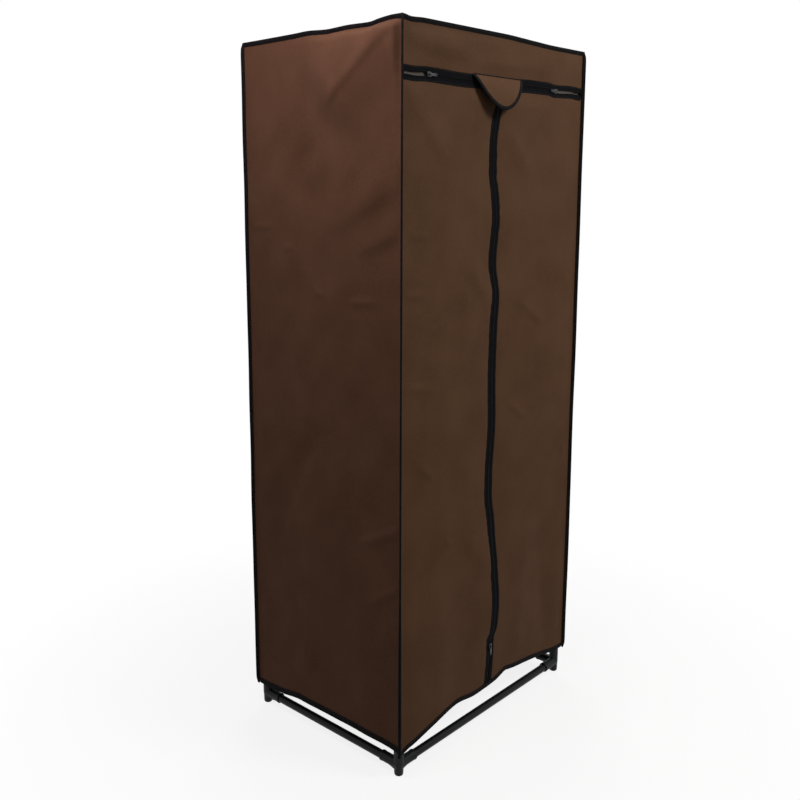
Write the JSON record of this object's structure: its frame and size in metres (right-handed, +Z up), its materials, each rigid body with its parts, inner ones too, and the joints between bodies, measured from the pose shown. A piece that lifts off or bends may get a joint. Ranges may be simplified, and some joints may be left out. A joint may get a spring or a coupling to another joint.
{
  "type": "portable fabric wardrobe",
  "caption": "Free-standing fabric wardrobe: push-fit steel tube frame with a hanging rail in a fitted cloth cover with a T-shaped zip front, two cloth doors and a flap over the meeting zips.",
  "frame": {"origin": "on the floor, under the middle of the bounding box", "axes": "+Z up, the front with its doors faces -Y, +X is to the right for someone who faces the front"},
  "size_m": [0.67, 0.5022, 1.604],
  "materials": {
    "cover_fabric": "brown spun-bonded non-woven cloth with a fine pressed dot pattern, matt",
    "binding_tape": "black folded non-woven binding tape, sewn through near its edge",
    "zip_tape": "black woven zip tape with a nylon coil",
    "slider_metal": "black painted die-cast zip sliders and stamped pulls",
    "connector_plastic": "black injection-moulded polypropylene, low sheen",
    "powder_coated_steel": "thin-wall steel tube, black powder coat, satin"
  },
  "bodies": {
    "frame_and_cover": {"cover_left_panel": "cover_fabric", "cover_right_panel": "cover_fabric", "cover_back_panel": "cover_fabric", "cover_top_panel": "cover_fabric", "header_panel": "cover_fabric", "hem_binding_left": "binding_tape", "hem_binding_right": "binding_tape", "hem_binding_back": "binding_tape", "corner_binding_front_left": "binding_tape", "corner_binding_front_right": "binding_tape", "corner_binding_back_left": "binding_tape", "corner_binding_back_right": "binding_tape", "top_binding": "binding_tape", "zip_half_header": "zip_tape", "foot_connector_front_left": "connector_plastic", "foot_connector_front_right": "connector_plastic", "foot_connector_back_left": "connector_plastic", "foot_connector_back_right": "connector_plastic", "top_connector_front_left": "connector_plastic", "top_connector_front_right": "connector_plastic", "top_connector_back_left": "connector_plastic", "top_connector_back_right": "connector_plastic", "hanging_rail_socket_left": "connector_plastic", "hanging_rail_socket_right": "connector_plastic", "post_front_left_lower": "powder_coated_steel", "post_front_left_upper": "powder_coated_steel", "post_front_right_lower": "powder_coated_steel", "post_front_right_upper": "powder_coated_steel", "post_back_left_lower": "powder_coated_steel", "post_back_left_upper": "powder_coated_steel", "post_back_right_lower": "powder_coated_steel", "post_back_right_upper": "powder_coated_steel", "bottom_rail_front": "powder_coated_steel", "bottom_rail_back": "powder_coated_steel", "bottom_rail_left": "powder_coated_steel", "bottom_rail_right": "powder_coated_steel", "top_rail_front": "powder_coated_steel", "top_rail_back": "powder_coated_steel", "top_rail_left_front": "powder_coated_steel", "top_rail_left_back": "powder_coated_steel", "top_rail_right_front": "powder_coated_steel", "top_rail_right_back": "powder_coated_steel", "hanging_rail": "powder_coated_steel"},
    "door_left": {"door_left_panel": "cover_fabric", "hem_binding_door_left": "binding_tape", "zip_half_left": "zip_tape"},
    "door_right": {"door_right_panel": "cover_fabric", "hem_binding_door_right": "binding_tape", "zip_half_right": "zip_tape"},
    "flap": {"flap_panel": "cover_fabric", "flap_binding": "binding_tape"},
    "slider_centre": {"zip_slider_centre": "slider_metal"},
    "slider_left": {"zip_slider_left": "slider_metal"},
    "slider_right": {"zip_slider_right": "slider_metal"},
    "pull_centre": {"zip_pull_centre": "slider_metal"},
    "pull_left": {"zip_pull_left": "slider_metal"},
    "pull_right": {"zip_pull_right": "slider_metal"}
  },
  "joints": [
    {"name": "door_left_swing", "type": "hinge", "parent": "frame_and_cover", "child": "door_left", "pos_m": [-0.3217, -0.22886, 0.78], "axis": [0, 0, -1], "range_deg": [0, 120]},
    {"name": "door_right_swing", "type": "hinge", "parent": "frame_and_cover", "child": "door_right", "pos_m": [0.3217, -0.22886, 0.78], "axis": [0, 0, 1], "range_deg": [0, 120]},
    {"name": "flap_lift", "type": "hinge", "parent": "frame_and_cover", "child": "flap", "pos_m": [0, -0.23026, 1.5114], "axis": [-1, 0, 0], "range_deg": [0, 105]},
    {"name": "slider_centre_travel", "type": "slide", "parent": "door_left", "child": "slider_centre", "axis": [0, 0, 1], "range_m": [0, 1.284]},
    {"name": "slider_left_travel", "type": "slide", "parent": "frame_and_cover", "child": "slider_left", "axis": [1, 0, 0], "range_m": [0, 0.218]},
    {"name": "slider_right_travel", "type": "slide", "parent": "frame_and_cover", "child": "slider_right", "axis": [-1, 0, 0], "range_m": [0, 0.182]},
    {"name": "pull_centre_turn", "type": "hinge", "parent": "slider_centre", "child": "pull_centre", "pos_m": [0, -0.23246, 0.192], "axis": [-1, 0, 0], "range_deg": [0, 170]},
    {"name": "pull_left_turn", "type": "hinge", "parent": "slider_left", "child": "pull_left", "pos_m": [-0.246, -0.23246, 1.497], "axis": [0, 0, -1], "range_deg": [0, 170]},
    {"name": "pull_right_turn", "type": "hinge", "parent": "slider_right", "child": "pull_right", "pos_m": [0.21, -0.23246, 1.497], "axis": [0, 0, 1], "range_deg": [0, 170]}
  ]
}
